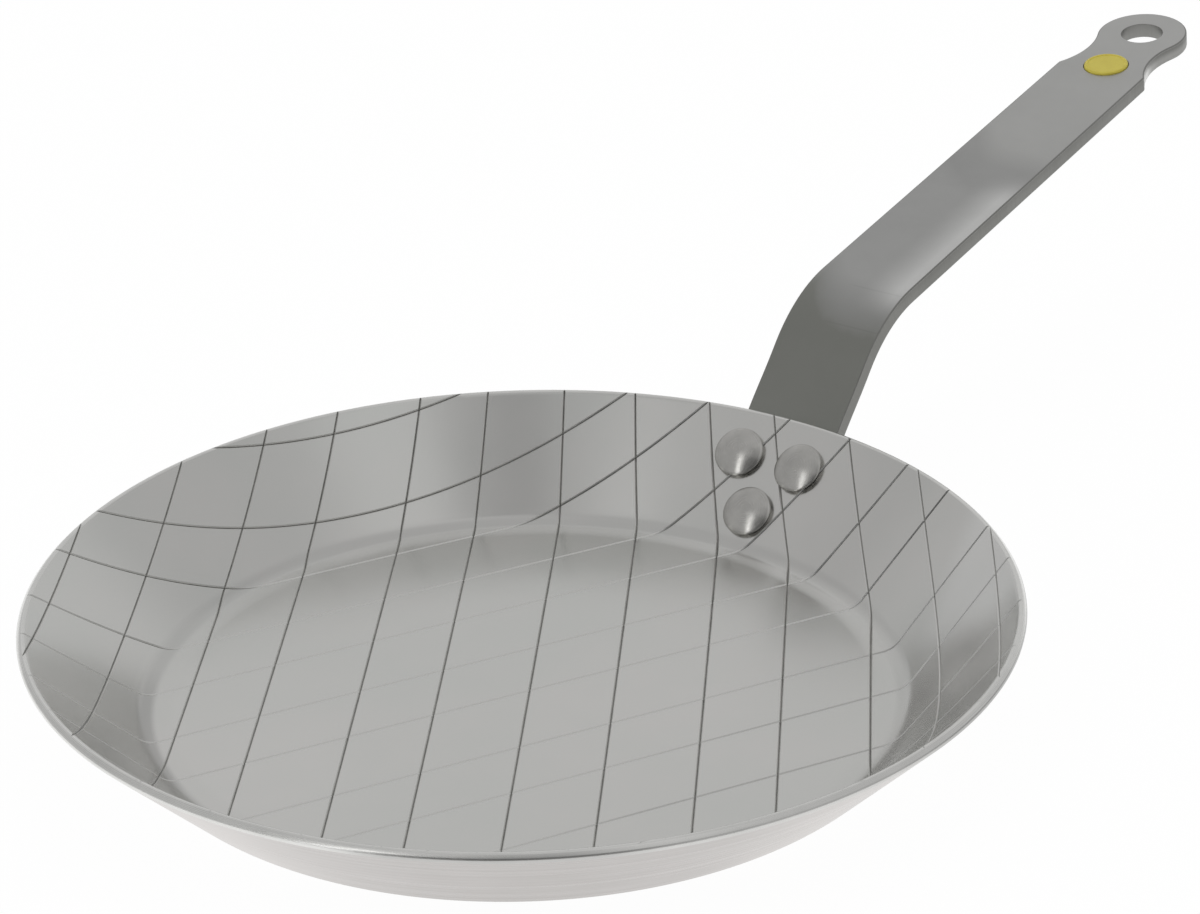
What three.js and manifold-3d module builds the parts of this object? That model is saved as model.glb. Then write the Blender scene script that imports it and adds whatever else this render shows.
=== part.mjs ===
// Flared steel grill pan with a flat bar handle held on by three rivets.
// Millimetres, +Z up, +X along the handle. The origin is the centre of the base's underside.
import * as THREE from 'three';
import { mergeVertices } from 'three/addons/utils/BufferGeometryUtils.js';
import Module from 'manifold-3d';

const wasm = await Module();
wasm.setup();

const radians = THREE.MathUtils.degToRad;

// Pan: a round of steel sheet pressed to a flat floor and a straight flared wall
const RIM_RADIUS = 140;
const SHEET = 3;
const FLOOR_RADIUS = 103.7;
const CORNER_RADIUS = 7.4;
const WALL_SLOPE = radians(45);
const PAN_FACETS = 64;
const CORNER_STEPS = 2;

// Diamond grid: straight lines engraved in the flat blank, given by the angle of their normal from the
// handle and their distances from the middle. Pressing lengthens the wall a little.
const GROOVE_FAMILIES = [
  {
    normal: radians(-58.8),
    offsets: [-142.5, -118.6, -94.6, -73, -46.6, -24.4, 1.2, 25.2, 50.4, 72.1, 96.9, 119.1, 141],
  },
  {
    normal: radians(61.5),
    offsets: [-145, -122, -98.6, -75.2, -49.8, -28.4, -0.7, 21.8, 47.7, 70.5, 95.9, 115.7, 142.1],
  },
];
const GROOVE_WIDTH = 1.1;
const GROOVE_DEPTH = 0.5;
const GROOVE_STEP = 14;
const WALL_STRETCH = 1.03;

// Handle: a flat bar. Distances along it are measured on its upper face from the rim,
// so the pad that lies on the outside of the wall is at negative distances.
const BAR_THICKNESS = 5;
const BAR_WIDTH_AT_RIM = 32.5;
const BAR_WIDTH_AT_SHOULDER = 32.4;
const BAR_CHAMFER = 0.8;
const RISE_SLOPE = radians(48.9);
const BEND_START = 23.2;
const BEND_RADIUS = 46;
const REACH_SLOPE = radians(8.8);
const EYE_AT = 237.4;
const EYE_RADIUS = 15.2;
const HANG_HOLE_RADIUS = 7;
const NECK_BEFORE_EYE = 15.3;
const NECK_RADIUS = 27;
const PAD_THICKNESS = 4;
const PAD_FULL_WIDTH_AT = -16;
const PAD_LENGTH = 39;
const PAD_THINS_OVER = 8;
const CURL_FADES_OVER = 20;
const POINTS_ACROSS_BAR = 3;
const BAR_STEPS = { tongue: 7, pad: 2, rise: 3, bend: 6, reach: 5, neck: 6, eye: 12 };
// The round ends stop this far round, where the outline is a small flat
const ROUND_LIMIT = radians(84);

// Rivets: two side by side near the rim and one below, between them
const RIVET_HEAD_RADIUS = 7.8;
const RIVET_EDGE = 1;
const RIVET_DOME = 2.4;
const RIVET_SHANK_RADIUS = 3;
const RIVET_TAIL_RADIUS = 5;
const RIVET_TAIL_FLAT = 3.5;
const RIVET_TAIL_HEIGHT = 1.3;
const RIVET_DOME_STEPS = 5;
const RIVET_FACETS = 20;
const RIVETS = [
  { name: 'rivet_left', belowRim: 14.8, turn: radians(4.8) },
  { name: 'rivet_right', belowRim: 14.8, turn: radians(-4.8) },
  { name: 'rivet_lower', belowRim: 32.3, turn: 0 },
];

// Medallion: a disc with a moulded rim, seated in the bar's upper face
const MEDALLION_AT = 211.5;
const MEDALLION_RADIUS = 7.4;
const MEDALLION_PROUD = 1.5;
const MEDALLION_RIM = 0.8;
const MEDALLION_DISH = 0.3;
const SEAT_DEPTH = 1.2;

// Room left between pieces that touch
const GAP = 0.3;
// How far a cutting shape reaches past what it cuts
const OVERCUT = 3;
// Points closer than this are one point
const SAME_POINT = 1e-4;

// Sizes that follow from the ones above
const rimDrop = SHEET * Math.cos(WALL_SLOPE);
const rimInset = SHEET * Math.sin(WALL_SLOPE);
const cornerLength = CORNER_RADIUS * WALL_SLOPE;
const wallFoot = new THREE.Vector2(
  FLOOR_RADIUS + CORNER_RADIUS * Math.sin(WALL_SLOPE),
  SHEET + CORNER_RADIUS * (1 - Math.cos(WALL_SLOPE)),
);
const wallLength = (RIM_RADIUS - rimInset - wallFoot.x) / Math.cos(WALL_SLOPE);
const innerRim = new THREE.Vector2(
  RIM_RADIUS - rimInset,
  wallFoot.y + wallLength * Math.sin(WALL_SLOPE),
);
const outerRim = new THREE.Vector2(RIM_RADIUS, innerRim.y - rimDrop);
const blankRadius = FLOOR_RADIUS + (cornerLength + wallLength) / WALL_STRETCH;
const bendEnd = BEND_START + BEND_RADIUS * (RISE_SLOPE - REACH_SLOPE);

// Turns a closed geometry into a solid that can be joined and cut
function solidOf(geometry) {
  const plain = geometry.clone();
  plain.deleteAttribute('normal');
  plain.deleteAttribute('uv');
  const merged = mergeVertices(plain, SAME_POINT);
  const index = merged.index.array;
  const triangles = [];
  for (let i = 0; i < index.length; i += 3) {
    const [a, b, c] = index.slice(i, i + 3);
    if (a !== b && b !== c && c !== a) triangles.push(a, b, c);
  }
  const mesh = new wasm.Mesh({
    numProp: 3,
    vertProperties: new Float32Array(merged.attributes.position.array),
    triVerts: new Uint32Array(triangles),
  });
  return new wasm.Manifold(mesh);
}

function geometryOf(solid) {
  const mesh = solid.getMesh();
  const geometry = new THREE.BufferGeometry();
  geometry.setAttribute('position', new THREE.BufferAttribute(mesh.vertProperties, 3));
  geometry.setIndex(new THREE.BufferAttribute(mesh.triVerts, 1));
  geometry.computeVertexNormals();
  return geometry;
}

// A closed body through a row of outlines with equal numbers of points
function loft(outlines) {
  const count = outlines[0].length;
  const positions = [];
  const triangles = [];
  for (const outline of outlines) {
    for (const point of outline) positions.push(...point.toArray());
  }
  for (let row = 0; row + 1 < outlines.length; row += 1) {
    for (let i = 0; i < count; i += 1) {
      const a = row * count + i;
      const b = row * count + ((i + 1) % count);
      triangles.push(a, b, b + count, a, b + count, a + count);
    }
  }
  const lastRow = (outlines.length - 1) * count;
  for (let i = 1; i + 1 < count; i += 1) {
    triangles.push(0, i + 1, i);
    triangles.push(lastRow, lastRow + i, lastRow + i + 1);
  }
  const geometry = new THREE.BufferGeometry();
  geometry.setAttribute('position', new THREE.Float32BufferAttribute(positions, 3));
  geometry.setIndex(triangles);
  return geometry;
}

// A body turned about the Z axis from a profile of radius and height
function turned(profile, facets) {
  return new THREE.LatheGeometry(profile, facets).rotateX(Math.PI / 2);
}

// A drill along an axis, from a start height to an end height on that axis
function drill(radius, from, to, matrix) {
  const rod = new THREE.CylinderGeometry(radius, radius, to - from, RIVET_FACETS);
  rod.rotateX(Math.PI / 2);
  rod.translate(0, 0, (from + to) / 2);
  rod.applyMatrix4(matrix);
  return solidOf(rod);
}

// Where a point of the flat blank ends up on the pan's inside, and which way the surface faces there
function pressed(x, y) {
  const flatRadius = Math.hypot(x, y);
  const turn = Math.atan2(y, x);
  const past = Math.max(0, (flatRadius - FLOOR_RADIUS) * WALL_STRETCH);
  const tilt = Math.min(past / CORNER_RADIUS, WALL_SLOPE);
  const upWall = Math.max(0, past - cornerLength);
  const floorPart = Math.min(flatRadius, FLOOR_RADIUS);
  const radius = floorPart + CORNER_RADIUS * Math.sin(tilt) + upWall * Math.cos(WALL_SLOPE);
  const height = SHEET + CORNER_RADIUS * (1 - Math.cos(tilt)) + upWall * Math.sin(WALL_SLOPE);
  const outward = new THREE.Vector3(Math.cos(turn), Math.sin(turn), 0);
  const point = outward.clone().multiplyScalar(radius).setZ(height);
  const normal = outward.multiplyScalar(-Math.sin(tilt)).setZ(Math.cos(tilt));
  return { point, normal };
}

// A wedge that follows one engraved line over the floor, round the corner and up to the rim on both sides
function grooveCutter(normalAngle, offset) {
  const chordTo = (radius) => Math.sqrt(Math.max(0, radius ** 2 - offset ** 2));
  const cornerPart = cornerLength / WALL_STRETCH / CORNER_STEPS;
  const halves = [];
  for (let i = 0; i <= CORNER_STEPS; i += 1) halves.push(chordTo(FLOOR_RADIUS + i * cornerPart));
  const wallFrom = halves.at(-1);
  const wallTo = chordTo(blankRadius + OVERCUT);
  const wallSteps = Math.ceil((wallTo - wallFrom) / GROOVE_STEP);
  for (let i = 1; i <= wallSteps; i += 1) {
    halves.push(THREE.MathUtils.lerp(wallFrom, wallTo, i / wallSteps));
  }
  const distances = [...new Set([...halves.map((half) => -half).reverse(), ...halves])];
  const places = distances.map((along) => pressed(
    offset * Math.cos(normalAngle) - along * Math.sin(normalAngle),
    offset * Math.sin(normalAngle) + along * Math.cos(normalAngle),
  ));
  // The wedge stands as high above the surface as it cuts below it, so its top is twice the groove's width
  const halfTop = GROOVE_WIDTH;
  const outlines = places.map(({ point, normal }, i) => {
    const before = places[Math.max(0, i - 1)].point;
    const after = places[Math.min(places.length - 1, i + 1)].point;
    const along = after.clone().sub(before).normalize();
    const side = normal.clone().cross(along).normalize();
    const top = point.clone().addScaledVector(normal, GROOVE_DEPTH);
    return [
      point.clone().addScaledVector(normal, -GROOVE_DEPTH),
      top.clone().addScaledVector(side, halfTop),
      top.clone().addScaledVector(side, -halfTop),
    ];
  });
  return solidOf(loft(outlines));
}

// The frame of a rivet: its origin on the wall's inside, its Z axis pointing into the pan
function rivetFrame({ belowRim, turn }) {
  const radius = innerRim.x - belowRim * Math.cos(WALL_SLOPE);
  const height = innerRim.y - belowRim * Math.sin(WALL_SLOPE);
  const lean = new THREE.Matrix4().makeRotationY(-WALL_SLOPE);
  const place = new THREE.Matrix4().makeTranslation(radius, 0, height);
  return new THREE.Matrix4().makeRotationZ(turn).multiply(place).multiply(lean);
}

const rivetTailSeat = -(SHEET + GAP + PAD_THICKNESS);

function rivetHole(rivet) {
  return drill(RIVET_SHANK_RADIUS + GAP, rivetTailSeat - OVERCUT, OVERCUT, rivetFrame(rivet));
}

function panBodyGeometry() {
  const profile = [new THREE.Vector2(0, 0)];
  const centre = new THREE.Vector2(FLOOR_RADIUS, SHEET + CORNER_RADIUS);
  const corner = (radius, angle) => new THREE.Vector2(
    centre.x + radius * Math.sin(angle),
    centre.y - radius * Math.cos(angle),
  );
  for (let i = 0; i <= CORNER_STEPS; i += 1) {
    profile.push(corner(CORNER_RADIUS + SHEET, (WALL_SLOPE * i) / CORNER_STEPS));
  }
  profile.push(outerRim, innerRim);
  for (let i = CORNER_STEPS; i >= 0; i -= 1) {
    profile.push(corner(CORNER_RADIUS, (WALL_SLOPE * i) / CORNER_STEPS));
  }
  profile.push(new THREE.Vector2(0, SHEET));
  let solid = solidOf(turned(profile, PAN_FACETS));
  for (const { normal, offsets } of GROOVE_FAMILIES) {
    for (const offset of offsets) solid = solid.subtract(grooveCutter(normal, offset));
  }
  for (const rivet of RIVETS) solid = solid.subtract(rivetHole(rivet));
  return geometryOf(solid);
}

// The frame of the bar at a distance past the rim: X along it, Z out of its upper face
function barFrame(distance) {
  const start = new THREE.Vector2(
    outerRim.x + GAP * Math.sin(WALL_SLOPE),
    outerRim.y - GAP * Math.cos(WALL_SLOPE),
  );
  let slope = distance < 0 ? WALL_SLOPE : RISE_SLOPE;
  const rise = Math.min(distance, BEND_START);
  let x = start.x + rise * Math.cos(slope);
  let z = start.y + rise * Math.sin(slope);
  if (distance > BEND_START) {
    const bentTo = slope - (Math.min(distance, bendEnd) - BEND_START) / BEND_RADIUS;
    x += BEND_RADIUS * (Math.sin(slope) - Math.sin(bentTo));
    z += BEND_RADIUS * (Math.cos(bentTo) - Math.cos(slope));
    slope = bentTo;
  }
  const reach = Math.max(0, distance - bendEnd);
  x += reach * Math.cos(slope);
  z += reach * Math.sin(slope);
  const place = new THREE.Matrix4().makeTranslation(x, 0, z);
  return place.multiply(new THREE.Matrix4().makeRotationY(-slope));
}

// The bar's plan: a rounded tongue on the wall, nearly parallel sides, a waisted neck and a round eye
const neckAt = EYE_AT - NECK_BEFORE_EYE;
const neckCentreAside = Math.sqrt((EYE_RADIUS + NECK_RADIUS) ** 2 - NECK_BEFORE_EYE ** 2);
const neckMeetsEyeAt = EYE_AT - (NECK_BEFORE_EYE * EYE_RADIUS) / (EYE_RADIUS + NECK_RADIUS);
const shoulderDepth = neckCentreAside - BAR_WIDTH_AT_SHOULDER / 2;
const shoulderAt = neckAt - Math.sqrt(NECK_RADIUS ** 2 - shoulderDepth ** 2);
const tongueLength = PAD_LENGTH + PAD_FULL_WIDTH_AT;

function barHalfWidth(distance) {
  if (distance > neckMeetsEyeAt) return Math.sqrt(EYE_RADIUS ** 2 - (distance - EYE_AT) ** 2);
  if (distance > shoulderAt) return neckCentreAside - Math.sqrt(NECK_RADIUS ** 2 - (distance - neckAt) ** 2);
  const share = Math.max(0, distance) / shoulderAt;
  const side = THREE.MathUtils.lerp(BAR_WIDTH_AT_RIM, BAR_WIDTH_AT_SHOULDER, share) / 2;
  const tongue = Math.max(0, PAD_FULL_WIDTH_AT - distance) / tongueLength;
  return side * Math.sqrt(1 - tongue ** 2);
}

function barThickness(distance) {
  const share = THREE.MathUtils.clamp(-distance / PAD_THINS_OVER, 0, 1);
  return THREE.MathUtils.lerp(BAR_THICKNESS, PAD_THICKNESS, share);
}

// How strongly the pad is curled across its width, to lie on the round wall
function barCurl(distance) {
  const wallRadius = (RIM_RADIUS + Math.min(distance, 0) * Math.cos(WALL_SLOPE)) / Math.cos(WALL_SLOPE);
  const fade = 1 - THREE.MathUtils.smoothstep(distance, 0, CURL_FADES_OVER);
  return fade / (2 * wallRadius);
}

function barOutline(distance) {
  const half = barHalfWidth(distance);
  const thickness = barThickness(distance);
  const curl = barCurl(distance);
  const frame = barFrame(distance);
  const inset = half - Math.min(BAR_CHAMFER, half / 2);
  const at = (y, depth) => new THREE.Vector3(0, y, curl * y * y - depth).applyMatrix4(frame);
  const outline = [];
  const across = (from, to, depth) => {
    for (let i = 0; i < POINTS_ACROSS_BAR; i += 1) {
      outline.push(at(THREE.MathUtils.lerp(from, to, i / (POINTS_ACROSS_BAR - 1)), depth));
    }
  };
  across(-inset, inset, thickness);
  outline.push(at(half, thickness - BAR_CHAMFER), at(half, BAR_CHAMFER));
  across(inset, -inset, 0);
  outline.push(at(-half, BAR_CHAMFER), at(-half, thickness - BAR_CHAMFER));
  return outline;
}

// Distances along the bar where its outline needs a row of points
function barStations() {
  const stations = [];
  const spread = (from, to, steps) => {
    for (let i = 1; i <= steps; i += 1) stations.push(THREE.MathUtils.lerp(from, to, i / steps));
  };
  for (let i = BAR_STEPS.tongue; i >= 0; i -= 1) {
    stations.push(PAD_FULL_WIDTH_AT - tongueLength * Math.sin((ROUND_LIMIT * i) / BAR_STEPS.tongue));
  }
  spread(PAD_FULL_WIDTH_AT, 0, BAR_STEPS.pad);
  spread(0, BEND_START, BAR_STEPS.rise);
  spread(BEND_START, bendEnd, BAR_STEPS.bend);
  spread(bendEnd, shoulderAt, BAR_STEPS.reach);
  spread(shoulderAt, neckMeetsEyeAt, BAR_STEPS.neck);
  const eyeFrom = Math.asin((neckMeetsEyeAt - EYE_AT) / EYE_RADIUS);
  for (let i = 1; i <= BAR_STEPS.eye; i += 1) {
    const round = THREE.MathUtils.lerp(eyeFrom, ROUND_LIMIT, i / BAR_STEPS.eye);
    stations.push(EYE_AT + EYE_RADIUS * Math.sin(round));
  }
  return stations;
}

function handleGeometry() {
  let solid = solidOf(loft(barStations().map(barOutline)));
  solid = solid.subtract(drill(HANG_HOLE_RADIUS, -BAR_THICKNESS - OVERCUT, OVERCUT, barFrame(EYE_AT)));
  solid = solid.subtract(drill(MEDALLION_RADIUS + GAP, -SEAT_DEPTH, OVERCUT, barFrame(MEDALLION_AT)));
  for (const rivet of RIVETS) solid = solid.subtract(rivetHole(rivet));
  return geometryOf(solid);
}

function rivetGeometry() {
  const tailFace = rivetTailSeat - GAP;
  const profile = [
    new THREE.Vector2(0, tailFace - RIVET_TAIL_HEIGHT),
    new THREE.Vector2(RIVET_TAIL_FLAT, tailFace - RIVET_TAIL_HEIGHT),
    new THREE.Vector2(RIVET_TAIL_RADIUS, tailFace - RIVET_TAIL_HEIGHT / 2),
    new THREE.Vector2(RIVET_TAIL_RADIUS, tailFace),
    new THREE.Vector2(RIVET_SHANK_RADIUS, tailFace),
    new THREE.Vector2(RIVET_SHANK_RADIUS, GAP),
    new THREE.Vector2(RIVET_HEAD_RADIUS, GAP),
  ];
  for (let i = 0; i <= RIVET_DOME_STEPS; i += 1) {
    const share = i / RIVET_DOME_STEPS;
    const height = GAP + RIVET_EDGE + RIVET_DOME * (1 - (1 - share) ** 2);
    profile.push(new THREE.Vector2(RIVET_HEAD_RADIUS * (1 - share), height));
  }
  return turned(profile, RIVET_FACETS);
}

function medallionGeometry() {
  const rimInner = MEDALLION_RADIUS - MEDALLION_RIM;
  const profile = [
    new THREE.Vector2(0, GAP - SEAT_DEPTH),
    new THREE.Vector2(MEDALLION_RADIUS, GAP - SEAT_DEPTH),
    new THREE.Vector2(MEDALLION_RADIUS, MEDALLION_PROUD - MEDALLION_DISH),
    new THREE.Vector2(MEDALLION_RADIUS - MEDALLION_DISH, MEDALLION_PROUD),
    new THREE.Vector2(rimInner, MEDALLION_PROUD),
    new THREE.Vector2(rimInner - MEDALLION_DISH, MEDALLION_PROUD - MEDALLION_DISH),
    new THREE.Vector2(0, MEDALLION_PROUD - MEDALLION_DISH),
  ];
  return turned(profile, RIVET_FACETS);
}

const panSteel = new THREE.MeshStandardMaterial({ color: 0xa9a9a6, roughness: 0.38, metalness: 1 });
const handleSteel = new THREE.MeshStandardMaterial({ color: 0x7c7c78, roughness: 0.5, metalness: 1 });
const rivetSteel = new THREE.MeshStandardMaterial({ color: 0x9d9c97, roughness: 0.32, metalness: 1 });
const ochrePlastic = new THREE.MeshStandardMaterial({ color: 0xb59a2c, roughness: 0.45, metalness: 0 });

function piece(name, geometry, material, frame = new THREE.Matrix4()) {
  const mesh = new THREE.Mesh(geometry, material);
  mesh.name = name;
  frame.decompose(mesh.position, mesh.quaternion, mesh.scale);
  return mesh;
}

const grillPan = new THREE.Group();
grillPan.name = 'grill_pan';
grillPan.add(piece('pan_body', panBodyGeometry(), panSteel));
grillPan.add(piece('handle', handleGeometry(), handleSteel));
for (const rivet of RIVETS) {
  grillPan.add(piece(rivet.name, rivetGeometry(), rivetSteel, rivetFrame(rivet)));
}
grillPan.add(piece('medallion', medallionGeometry(), ochrePlastic, barFrame(MEDALLION_AT)));

export default grillPan;
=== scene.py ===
"""Looks of a steel grill pan with a riveted bar handle.

Metres, +Z up, +X along the handle. The origin is the centre of the base's underside.
"""

import math

import bpy
from mathutils import Matrix, Vector


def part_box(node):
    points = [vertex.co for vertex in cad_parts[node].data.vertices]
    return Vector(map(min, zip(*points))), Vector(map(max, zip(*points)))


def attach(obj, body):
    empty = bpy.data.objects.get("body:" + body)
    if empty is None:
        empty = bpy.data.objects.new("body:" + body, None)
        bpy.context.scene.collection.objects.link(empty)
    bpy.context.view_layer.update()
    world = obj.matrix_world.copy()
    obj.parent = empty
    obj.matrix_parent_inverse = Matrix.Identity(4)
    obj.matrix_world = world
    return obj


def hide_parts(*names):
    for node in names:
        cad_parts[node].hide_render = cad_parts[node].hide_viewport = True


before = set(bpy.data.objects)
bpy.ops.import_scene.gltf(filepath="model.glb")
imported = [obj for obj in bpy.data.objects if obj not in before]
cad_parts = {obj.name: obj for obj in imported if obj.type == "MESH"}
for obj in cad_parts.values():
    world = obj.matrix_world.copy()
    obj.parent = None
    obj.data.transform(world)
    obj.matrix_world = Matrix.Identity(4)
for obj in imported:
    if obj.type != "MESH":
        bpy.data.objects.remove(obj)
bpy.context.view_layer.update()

# Pan: a round of sheet steel pressed to a flat floor and a straight flared wall
RIM_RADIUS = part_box("pan_body")[1].x
SHEET = 0.003
FLOOR_RADIUS = 0.1037
CORNER_RADIUS = 0.0074
WALL_SLOPE = math.radians(45)
WALL_STRETCH = 1.03
RIM_ROUND = 0.001
PAN_FACETS = 256
CORNER_RINGS = 10
WALL_RINGS = 4
ROUND_STEPS = 4
# Rings this close to the bend and to the rim keep the faces next to them evenly shaded
FLAT_MARGIN = 0.002
RIM_MARGIN = 0.001

# What pressing did to the sheet, and where painted shade and light lie on it. Places are on the flat
# blank: distances from its middle, ahead along the handle and aside to the left, +Y. A pair says where an
# effect starts and where it is full.

# The floor sags a little, which shows only in the shine
FLOOR_SAG_RADII = (0.055, 0.092)
FLOOR_SAG = 0.0004
# The bend starts gently, and still more gently on the left, which shows only in the shine too
LEAD_IN_RADII = (0.098, 0.107)
LEAD_IN = 0.0007
LEFT_LEAD_IN = {"ahead": (0.05, 0.02), "aside": (0.02, 0.06), "less": 0.45}
# Painted shade darkens the sheet where it was bent
BEND_PAINTED_SHADE = {"from": 0.1032, "full_from": 0.1056, "full_to": 0.1068, "to": 0.1105, "amount": 0.14}
# The painted shade on the bend is darker still at the back left, and mostly left out on the right
BEND_SHADE_LEFT = {"ahead": (-0.045, -0.065), "aside": (0.04, 0.055), "amount": 0.15}
BEND_SHADE_SPARED_RIGHT = {"aside": (-0.085, -0.1), "share": 0.8}
# Painted light brightens the right-hand wall
RIGHT_WALL_PAINTED_LIGHT = {
    "ahead": (0.0, 0.018),
    "aside": (-0.08, -0.094),
    "outwards": (0.106, 0.109),
    "amount": 0.25,
}

# Painted shade darkens the outside on one side: the azimuth of its middle, and how far to each side of
# that it is full and ends, in degrees
OUTSIDE_PAINTED_SHADE = {"azimuth": -143, "full_to": 7, "to": 40, "amount": 0.25}
# The rim's lower edge is shaded on the right. The shade changes in steps along the handle.
RIM_SHADED_ASIDE = (-0.035, -0.055)
RIM_SHADE = 0.28
RIM_SHADE_STEPS = [
    {"ahead": (-0.1, -0.085), "change": -0.13},
    {"ahead": (-0.03, 0.01), "change": 0.27},
]

# Diamond grid: straight lines engraved in the flat blank, given by the angle of their normal from the
# handle and their distances from the middle
GROOVE_FAMILIES = [
    {
        "normal": math.radians(-58.8),
        "slot_width": 0.00035,
        "flank": "bright_groove_flank",
        "flank_shade": 0.0,
        "offsets": [
            -0.1425, -0.1186, -0.0946, -0.073, -0.0466, -0.0244, 0.0012,
            0.0252, 0.0504, 0.0721, 0.0969, 0.1191, 0.141,
        ],
    },
    {
        "normal": math.radians(61.5),
        "slot_width": 0.00017,
        "flank": "groove_flank_painted_shade",
        "flank_shade": 0.4,
        "offsets": [
            -0.145, -0.122, -0.0986, -0.0752, -0.0498, -0.0284, -0.0007,
            0.0218, 0.0477, 0.0705, 0.0959, 0.1157, 0.1421,
        ],
    },
]
# Each line is a narrow slot, darkened with painted shade, at the bottom of two bright flanks that lean 45
# degrees
GROOVE_WIDTH = 0.00086
SLOT_DEPTH = 0.00042
GROOVE_ROWS = 120
# Flanks with painted shade get it on the right-hand wall: how far aside and how far ahead it starts and is
# full, and the share of it further back
FLANK_SHADE_ASIDE = (-0.045, -0.07)
FLANK_SHADE_AHEAD = (0.068, 0.079)
FLANK_SHADE_BACK = 0.35

# Handle: a flat bar. Distances along it are measured on its upper face from the rim.
BAR_THICKNESS = 0.005
BAR_WIDTH_AT_RIM = 0.0325
BAR_WIDTH_AT_SHOULDER = 0.0324
BAR_EDGE_ROUND = 0.0005
RISE_SLOPE = math.radians(48.9)
BEND_START = 0.0232
BEND_RADIUS = 0.046
REACH_SLOPE = math.radians(8.8)
EYE_AT = 0.2374
EYE_RADIUS = 0.01517
HANG_HOLE_RADIUS = 0.007
HANG_HOLE_CHAMFER = 0.00015
NECK_BEFORE_EYE = 0.0153
NECK_RADIUS = 0.027
PAD_THICKNESS = 0.004
PAD_FULL_WIDTH_AT = -0.016
PAD_LENGTH = 0.039
PAD_THINS_OVER = 0.008
CURL_FADES_OVER = 0.02
TONGUE_STEPS = 16
NECK_STEPS = 10
EYE_STEPS = 44
HOLE_FACETS = 96
# Rows of edges across the bar on its rise, bend and reach, and along it at shares of its half width
RISE_ROWS = 6
BEND_ROWS = 14
REACH_ROWS = 12
LENGTHWISE_ROWS = (-0.7, -0.35, 0, 0.35, 0.7)

# Grey of the bar's upper face at distances along it, with painted shade and painted reflection in it:
# darker on the rise near the pan, lighter after the bend
BAR_TONES = [
    (0.03, (0.268, 0.272, 0.252)),
    (0.0325, (0.272, 0.275, 0.256)),
    (0.0355, (0.315, 0.317, 0.302)),
    (0.04, (0.352, 0.353, 0.343)),
    (0.046, (0.392, 0.392, 0.384)),
    (0.052, (0.425, 0.425, 0.418)),
    (0.112, (0.425, 0.425, 0.418)),
    (0.122, (0.398, 0.398, 0.392)),
    (0.134, (0.405, 0.405, 0.398)),
    (0.147, (0.49, 0.49, 0.479)),
    (0.237, (0.52, 0.52, 0.508)),
]
# Towards the left edge the tones lag behind, from where to where across the bar and by how much at most
TONE_LAGS_BETWEEN = (-0.002, 0.014)
TONE_LAG = 0.013
# Painted shade darkens the sides, but for a painted highlight on the inside of the neck
SIDE_TONES = [
    (0.03, (0.208, 0.208, 0.196)),
    (0.209, (0.225, 0.225, 0.214)),
    (0.2115, (0.6, 0.6, 0.586)),
    (0.2135, (0.5, 0.5, 0.487)),
    (0.218, (0.27, 0.27, 0.259)),
    (0.223, (0.205, 0.205, 0.195)),
]
# They change to these tones, lighter with painted light, towards the lower edge, between two depths below
# the upper face
SIDE_FOOT_TONES = [
    (0.03, (0.235, 0.235, 0.222)),
    (0.2095, (0.25, 0.25, 0.238)),
    (0.2125, (0.78, 0.78, 0.765)),
    (0.216, (0.76, 0.76, 0.745)),
    (0.22, (0.41, 0.41, 0.397)),
    (0.2255, (0.335, 0.335, 0.323)),
]
SIDE_FOOT_BETWEEN = (0.0008, 0.0032)
# The rounded edges between face and sides, darkened with painted shade
BAR_EDGE_TONES = [(0.03, (0.27, 0.27, 0.257)), (0.2, (0.29, 0.29, 0.278))]
# A painted highlight brightens the face towards its right-hand edge, over the stretch after the bend
PAINTED_EDGE_HIGHLIGHT = {
    "from": 0.038,
    "full_from": 0.054,
    "full_to": 0.112,
    "to": 0.132,
    "across": (-0.000975, -0.013),
    "power": 1.6,
    "colour": (0.67, 0.67, 0.66),
}
# Fine dark lines of painted shade across the bend, on the right-hand part of the face
BEND_SHADE_LINES = [0.0338, 0.0501]
BEND_SHADE_LINE_WIDTH = 0.0005
BEND_SHADE_LINE_DEPTH = 0.07
BEND_SHADE_LINES_BETWEEN = (0.005, -0.001)

# Rivets: two side by side near the rim and one below, between them
RIVET_HEAD_RADIUS = 0.0078
RIVET_EDGE = 0.001
RIVET_DOME = 0.0024
RIVET_EDGE_ROUND = 0.00055
RIVET_EDGE_TURN = math.radians(58)
RIVET_UNDERCUT = 0.0006
RIVET_SHANK_RADIUS = 0.003
RIVET_TAIL_RADIUS = 0.005
RIVET_TAIL_FLAT = 0.0035
RIVET_TAIL_HEIGHT = 0.0013
RIVET_DOME_STEPS = 14
RIVET_FACETS = 96
RIVETS = [
    {"name": "rivet_left", "below_rim": 0.0148, "turn": math.radians(4.8)},
    {"name": "rivet_right", "below_rim": 0.0148, "turn": math.radians(-4.8)},
    {"name": "rivet_lower", "below_rim": 0.0323, "turn": 0},
]

# Medallion: a disc with a moulded rim, seated in the bar's upper face
MEDALLION_AT = 0.2115
MEDALLION_RADIUS = 0.0074
MEDALLION_PROUD = 0.0008
MEDALLION_ROUND = 0.0007
MEDALLION_RIM = 0.0011
MEDALLION_DISH = 0.0002
SEAT_DEPTH = 0.0012

# Room left between pieces that touch
GAP = 0.0003
# How far a cutting shape reaches past what it cuts
OVERCUT = 0.003
# Points closer than this are one point
SAME_POINT = 0.000002
SHARP_ANGLE = math.radians(28)
# A face lies flat if more than this share of its normal points up or down
LIES_FLAT = 0.5

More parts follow.
